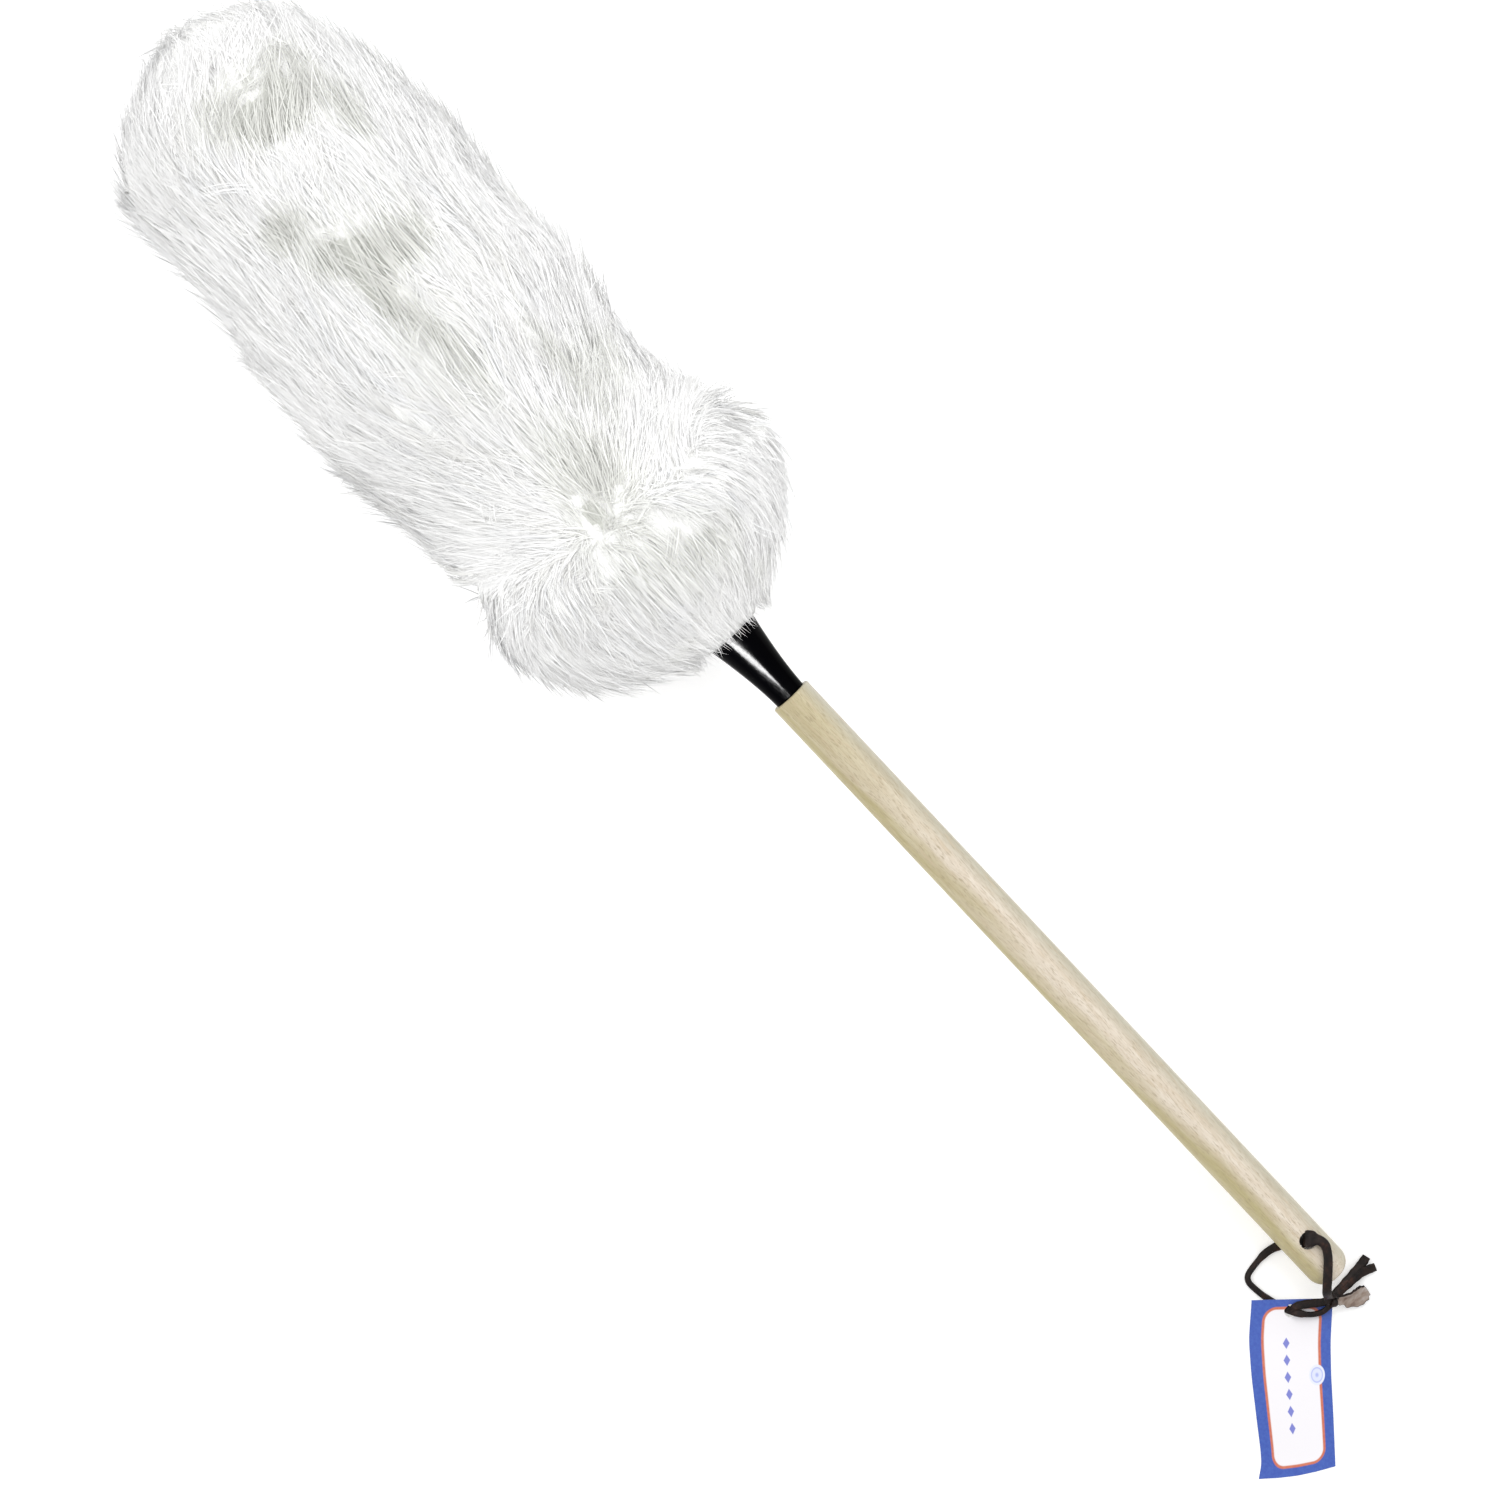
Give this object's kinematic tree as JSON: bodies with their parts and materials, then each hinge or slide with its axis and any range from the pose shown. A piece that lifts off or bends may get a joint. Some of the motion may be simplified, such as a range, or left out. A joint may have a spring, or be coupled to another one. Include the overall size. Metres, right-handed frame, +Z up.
{
  "type": "lambswool duster",
  "caption": "Long white lambswool duster head on a wooden dowel handle, with a black flared collar, a leather hanging lace and a card tag.",
  "frame": {"origin": "on the surface that the duster lies on, below the middle of its handle and head", "axes": "+X from the handle's hanging end to the head's tip, +Z up, +Y to the side where the tag lies"},
  "size_m": [0.6625, 0.1341, 0.1133],
  "materials": {
    "pale_wood": "sanded, clear satin lacquer",
    "black_plastic": "gloss moulded",
    "plain_wood": "bare",
    "batting": "matt fibre",
    "pelt_leather": "suede",
    "waxed_thread": "waxed",
    "steel": "plain",
    "wool_pile": "soft long pile",
    "lace_leather": "waxed dark brown",
    "lace_flesh_side": "suede flesh side",
    "printed_card": "printed card, satin"
  },
  "bodies": {
    "duster": {"handle": "pale_wood", "collar": "black_plastic", "core_rod": "plain_wood", "padding_roll": "batting", "pelt_sleeve": "pelt_leather", "pelt_tip_cap": "pelt_leather", "sleeve_seam_stitches": "waxed_thread", "cap_stitching": "waxed_thread", "sleeve_neck_binding": "waxed_thread", "sleeve_tacks": "steel", "tip_nail": "steel", "fleece": "wool_pile"},
    "lace": {"hang_lace": "lace_leather", "lace_knot": "lace_leather", "dark_lace_tail": "lace_leather", "pale_lace_tail": "lace_flesh_side", "lace_tag_turn": "lace_leather"},
    "tag": {"hang_tag": "printed_card"}
  },
  "joints": [
    {"name": "lace_swing", "type": "hinge", "parent": "duster", "child": "lace", "pos_m": [-0.28785, 0, 0.01049], "axis": [0, 0, 1], "range_deg": [-60, 40]},
    {"name": "tag_swing", "type": "hinge", "parent": "lace", "child": "tag", "pos_m": [-0.30395, 0.0207, 0.003], "axis": [0, 0, 1], "range_deg": [-30, 30]}
  ]
}
